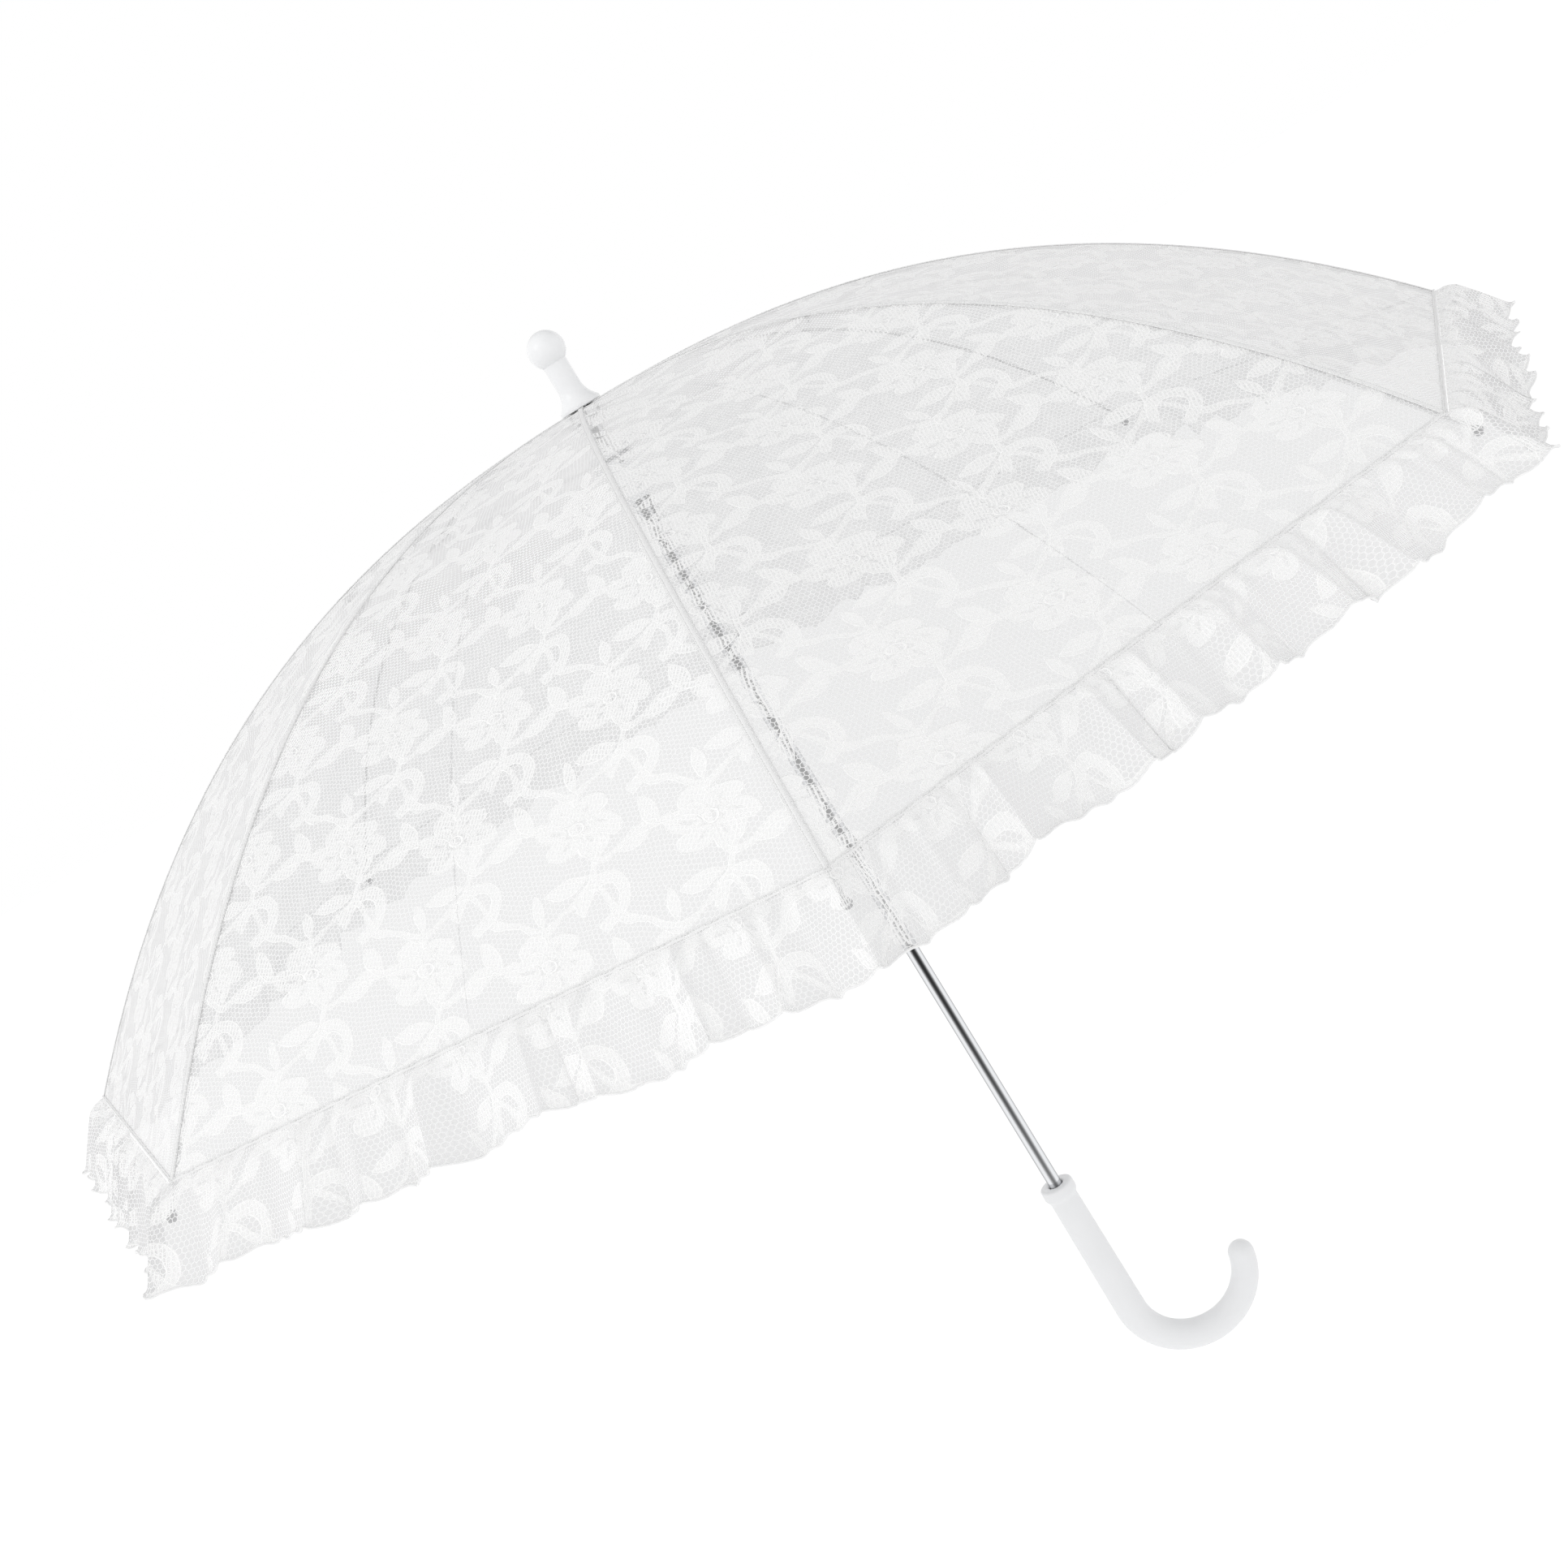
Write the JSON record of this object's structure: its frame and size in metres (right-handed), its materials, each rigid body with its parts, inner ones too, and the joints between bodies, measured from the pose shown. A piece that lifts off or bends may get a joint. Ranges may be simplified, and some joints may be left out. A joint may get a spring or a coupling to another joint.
{
  "type": "lace parasol",
  "caption": "Open stick parasol with a domed floral lace cover, gathered lace frill, wire ribs, folding runner, chromed shaft, ball ferrule and J-hook handle.",
  "frame": {"origin": "on the shaft's axis, in the middle of the straight grip, where the hand holds it", "axes": "+Z along the shaft, towards the ball ferrule; +X towards the hook's open end; -Y along the first rib"},
  "size_m": [0.9016, 0.9016, 0.692],
  "materials": {
    "chrome_steel": "polished chrome plate on thin steel tube",
    "ring_wire": "bare steel binding wire",
    "tip_metal": "small dark nickelled balls",
    "coated_wire": "white dip-coated steel wire, satin",
    "lace_cover": "machine-made floral lace on a hexagonal net",
    "lace_frill": "the same lace, gathered, with a scalloped edge",
    "handle_plastic": "satin white moulded plastic",
    "white_plastic": "glossy white moulded plastic"
  },
  "bodies": {
    "shaft": {"shaft_tube": "chrome_steel", "ferrule": "white_plastic", "canopy_washer": "white_plastic", "crown": "white_plastic", "crown_wire": "ring_wire", "handle": "handle_plastic"},
    "runner": {"runner": "white_plastic", "runner_wire": "ring_wire"},
    "top_catch": {"top_catch": "chrome_steel"},
    "bottom_catch": {"bottom_catch": "chrome_steel"},
    "rib_arm_1": {"rib_1": "coated_wire", "rib_tip_1": "tip_metal", "rib_clip_1": "coated_wire", "canopy_gore_1": "lace_cover", "frill_1": "lace_frill"},
    "stretcher_arm_1": {"stretcher_1": "coated_wire"},
    "rib_arm_2": {"rib_2": "coated_wire", "rib_tip_2": "tip_metal", "rib_clip_2": "coated_wire", "canopy_gore_2": "lace_cover", "frill_2": "lace_frill"},
    "stretcher_arm_2": {"stretcher_2": "coated_wire"},
    "rib_arm_3": {"rib_3": "coated_wire", "rib_tip_3": "tip_metal", "rib_clip_3": "coated_wire", "canopy_gore_3": "lace_cover", "frill_3": "lace_frill"},
    "stretcher_arm_3": {"stretcher_3": "coated_wire"},
    "rib_arm_4": {"rib_4": "coated_wire", "rib_tip_4": "tip_metal", "rib_clip_4": "coated_wire", "canopy_gore_4": "lace_cover", "frill_4": "lace_frill"},
    "stretcher_arm_4": {"stretcher_4": "coated_wire"},
    "rib_arm_5": {"rib_5": "coated_wire", "rib_tip_5": "tip_metal", "rib_clip_5": "coated_wire", "canopy_gore_5": "lace_cover", "frill_5": "lace_frill"},
    "stretcher_arm_5": {"stretcher_5": "coated_wire"},
    "rib_arm_6": {"rib_6": "coated_wire", "rib_tip_6": "tip_metal", "rib_clip_6": "coated_wire", "canopy_gore_6": "lace_cover", "frill_6": "lace_frill"},
    "stretcher_arm_6": {"stretcher_6": "coated_wire"},
    "rib_arm_7": {"rib_7": "coated_wire", "rib_tip_7": "tip_metal", "rib_clip_7": "coated_wire", "canopy_gore_7": "lace_cover", "frill_7": "lace_frill"},
    "stretcher_arm_7": {"stretcher_7": "coated_wire"},
    "rib_arm_8": {"rib_8": "coated_wire", "rib_tip_8": "tip_metal", "rib_clip_8": "coated_wire", "canopy_gore_8": "lace_cover", "frill_8": "lace_frill"},
    "stretcher_arm_8": {"stretcher_8": "coated_wire"}
  },
  "joints": [
    {"name": "runner_slide", "type": "slide", "parent": "shaft", "child": "runner", "axis": [0, 0, -1], "range_m": [0, 0.2588], "deforming": ["top_catch", "bottom_catch", "canopy_gore_1", "frill_1", "canopy_gore_2", "frill_2", "canopy_gore_3", "frill_3", "canopy_gore_4", "frill_4", "canopy_gore_5", "frill_5", "canopy_gore_6", "frill_6", "canopy_gore_7", "frill_7", "canopy_gore_8", "frill_8"]},
    {"name": "rib_hinge_1", "type": "hinge", "parent": "shaft", "child": "rib_arm_1", "pos_m": [0, -0.0086, 0.5544], "axis": [1, 0, 0], "range_deg": [0, 64]},
    {"name": "stretcher_hinge_1", "type": "hinge", "parent": "runner", "child": "stretcher_arm_1", "pos_m": [0.0036, -0.0092, 0.5305], "axis": [-1, 0, 0], "range_deg": [0, 67.01]},
    {"name": "rib_hinge_2", "type": "hinge", "parent": "shaft", "child": "rib_arm_2", "pos_m": [0.00608, -0.00608, 0.5544], "axis": [0.7071, 0.7071, 0], "range_deg": [0, 64]},
    {"name": "stretcher_hinge_2", "type": "hinge", "parent": "runner", "child": "stretcher_arm_2", "pos_m": [0.00905, -0.00396, 0.5305], "axis": [-0.7071, -0.7071, 0], "range_deg": [0, 67.01]},
    {"name": "rib_hinge_3", "type": "hinge", "parent": "shaft", "child": "rib_arm_3", "pos_m": [0.0086, 0, 0.5544], "axis": [0, 1, 0], "range_deg": [0, 64]},
    {"name": "stretcher_hinge_3", "type": "hinge", "parent": "runner", "child": "stretcher_arm_3", "pos_m": [0.0092, 0.0036, 0.5305], "axis": [0, -1, 0], "range_deg": [0, 67.01]},
    {"name": "rib_hinge_4", "type": "hinge", "parent": "shaft", "child": "rib_arm_4", "pos_m": [0.00608, 0.00608, 0.5544], "axis": [-0.7071, 0.7071, 0], "range_deg": [0, 64]},
    {"name": "stretcher_hinge_4", "type": "hinge", "parent": "runner", "child": "stretcher_arm_4", "pos_m": [0.00396, 0.00905, 0.5305], "axis": [0.7071, -0.7071, 0], "range_deg": [0, 67.01]},
    {"name": "rib_hinge_5", "type": "hinge", "parent": "shaft", "child": "rib_arm_5", "pos_m": [0, 0.0086, 0.5544], "axis": [-1, 0, 0], "range_deg": [0, 64]},
    {"name": "stretcher_hinge_5", "type": "hinge", "parent": "runner", "child": "stretcher_arm_5", "pos_m": [-0.0036, 0.0092, 0.5305], "axis": [1, 0, 0], "range_deg": [0, 67.01]},
    {"name": "rib_hinge_6", "type": "hinge", "parent": "shaft", "child": "rib_arm_6", "pos_m": [-0.00608, 0.00608, 0.5544], "axis": [-0.7071, -0.7071, 0], "range_deg": [0, 64]},
    {"name": "stretcher_hinge_6", "type": "hinge", "parent": "runner", "child": "stretcher_arm_6", "pos_m": [-0.00905, 0.00396, 0.5305], "axis": [0.7071, 0.7071, 0], "range_deg": [0, 67.01]},
    {"name": "rib_hinge_7", "type": "hinge", "parent": "shaft", "child": "rib_arm_7", "pos_m": [-0.0086, 0, 0.5544], "axis": [0, -1, 0], "range_deg": [0, 64]},
    {"name": "stretcher_hinge_7", "type": "hinge", "parent": "runner", "child": "stretcher_arm_7", "pos_m": [-0.0092, -0.0036, 0.5305], "axis": [0, 1, 0], "range_deg": [0, 67.01]},
    {"name": "rib_hinge_8", "type": "hinge", "parent": "shaft", "child": "rib_arm_8", "pos_m": [-0.00608, -0.00608, 0.5544], "axis": [0.7071, -0.7071, 0], "range_deg": [0, 64]},
    {"name": "stretcher_hinge_8", "type": "hinge", "parent": "runner", "child": "stretcher_arm_8", "pos_m": [-0.00396, -0.00905, 0.5305], "axis": [-0.7071, 0.7071, 0], "range_deg": [0, 67.01]},
    {"name": "top_catch_press", "type": "slide", "parent": "shaft", "child": "top_catch", "axis": [-1, 0, 0], "range_m": [0, 0.0024], "stiffness_N_per_m": 400},
    {"name": "bottom_catch_press", "type": "slide", "parent": "shaft", "child": "bottom_catch", "axis": [-1, 0, 0], "range_m": [0, 0.0024], "stiffness_N_per_m": 400}
  ],
  "couplings": [
    {"joint": "rib_hinge_1", "follows": "runner_slide", "rad_per_m": 4.3156},
    {"joint": "stretcher_hinge_1", "follows": "runner_slide", "rad_per_m": 4.5186},
    {"joint": "rib_hinge_2", "follows": "runner_slide", "rad_per_m": 4.3156},
    {"joint": "stretcher_hinge_2", "follows": "runner_slide", "rad_per_m": 4.5186},
    {"joint": "rib_hinge_3", "follows": "runner_slide", "rad_per_m": 4.3156},
    {"joint": "stretcher_hinge_3", "follows": "runner_slide", "rad_per_m": 4.5186},
    {"joint": "rib_hinge_4", "follows": "runner_slide", "rad_per_m": 4.3156},
    {"joint": "stretcher_hinge_4", "follows": "runner_slide", "rad_per_m": 4.5186},
    {"joint": "rib_hinge_5", "follows": "runner_slide", "rad_per_m": 4.3156},
    {"joint": "stretcher_hinge_5", "follows": "runner_slide", "rad_per_m": 4.5186},
    {"joint": "rib_hinge_6", "follows": "runner_slide", "rad_per_m": 4.3156},
    {"joint": "stretcher_hinge_6", "follows": "runner_slide", "rad_per_m": 4.5186},
    {"joint": "rib_hinge_7", "follows": "runner_slide", "rad_per_m": 4.3156},
    {"joint": "stretcher_hinge_7", "follows": "runner_slide", "rad_per_m": 4.5186},
    {"joint": "rib_hinge_8", "follows": "runner_slide", "rad_per_m": 4.3156},
    {"joint": "stretcher_hinge_8", "follows": "runner_slide", "rad_per_m": 4.5186}
  ]
}
